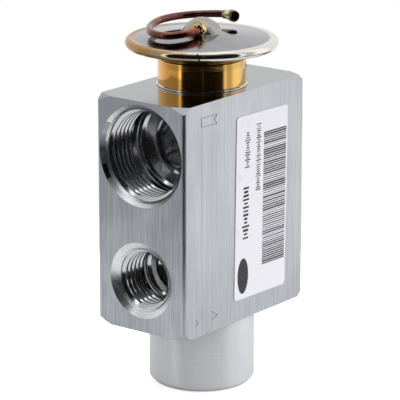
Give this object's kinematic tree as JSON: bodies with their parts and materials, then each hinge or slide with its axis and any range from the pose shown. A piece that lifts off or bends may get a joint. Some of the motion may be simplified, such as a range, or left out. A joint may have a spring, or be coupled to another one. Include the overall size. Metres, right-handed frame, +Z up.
{
  "type": "block expansion valve",
  "caption": "Aluminium block expansion valve with stacked straight-through screwed ports, diaphragm head with looped charge tube, and a spring housing with adjusting screw below.",
  "frame": {"origin": "centre of the lower end of the spring housing, on which the valve stands", "axes": "+Z up the valve's axis to the diaphragm head, -Y out of the face with the liquid inlet and the suction outlet, +X out of the face with the label"},
  "size_m": [0.0364, 0.047, 0.0895],
  "materials": {
    "aluminium": "machined, with fine upright grain",
    "passivated_steel": "yellow-passivated turned steel",
    "polished_steel": "polished, with gold heat tint at the rim",
    "spring_steel": "rolled",
    "copper": "dark red-brown tarnished copper",
    "brazing_metal": "bright as flowed",
    "rubber": "matt",
    "paper": "satin label paper",
    "brass": "turned"
  },
  "bodies": {
    "housing": {"valve_body": "aluminium", "label": "paper", "head_neck": "passivated_steel", "neck_o_ring": "rubber", "head_lower_shell": "polished_steel", "diaphragm": "spring_steel", "head_upper_shell": "polished_steel", "braze_fillet": "brazing_metal", "charge_tube": "copper", "tube_ferrule": "brazing_metal", "rod_o_ring": "rubber", "rod_seal_washer": "spring_steel"},
    "stroke": {"diaphragm_pad": "brass", "push_rod": "polished_steel", "valve_ball": "polished_steel", "ball_carrier": "brass", "damping_ring": "spring_steel"},
    "spring_seat": {"spring_seat": "brass", "superheat_spring": "spring_steel"},
    "adjuster": {"adjusting_screw": "brass", "screw_o_ring": "rubber"}
  },
  "joints": [
    {"name": "valve_stroke", "type": "slide", "parent": "housing", "child": "stroke", "axis": [0, 0, -1], "range_m": [0, 0.0008], "stiffness_N_per_m": 4000, "springref_m": -0.0015, "deforming": ["superheat_spring"]},
    {"name": "seat_rise", "type": "slide", "parent": "housing", "child": "spring_seat", "axis": [0, 0, 1], "range_m": [-0.0015, 0.0015], "deforming": ["superheat_spring"]},
    {"name": "screw_turn", "type": "hinge", "parent": "spring_seat", "child": "adjuster", "pos_m": [0, 0, 0.0034], "axis": [0, 0, 1], "range_deg": [-540, 540]}
  ],
  "couplings": [
    {"joint": "screw_turn", "follows": "seat_rise", "rad_per_m": 6283.2}
  ]
}
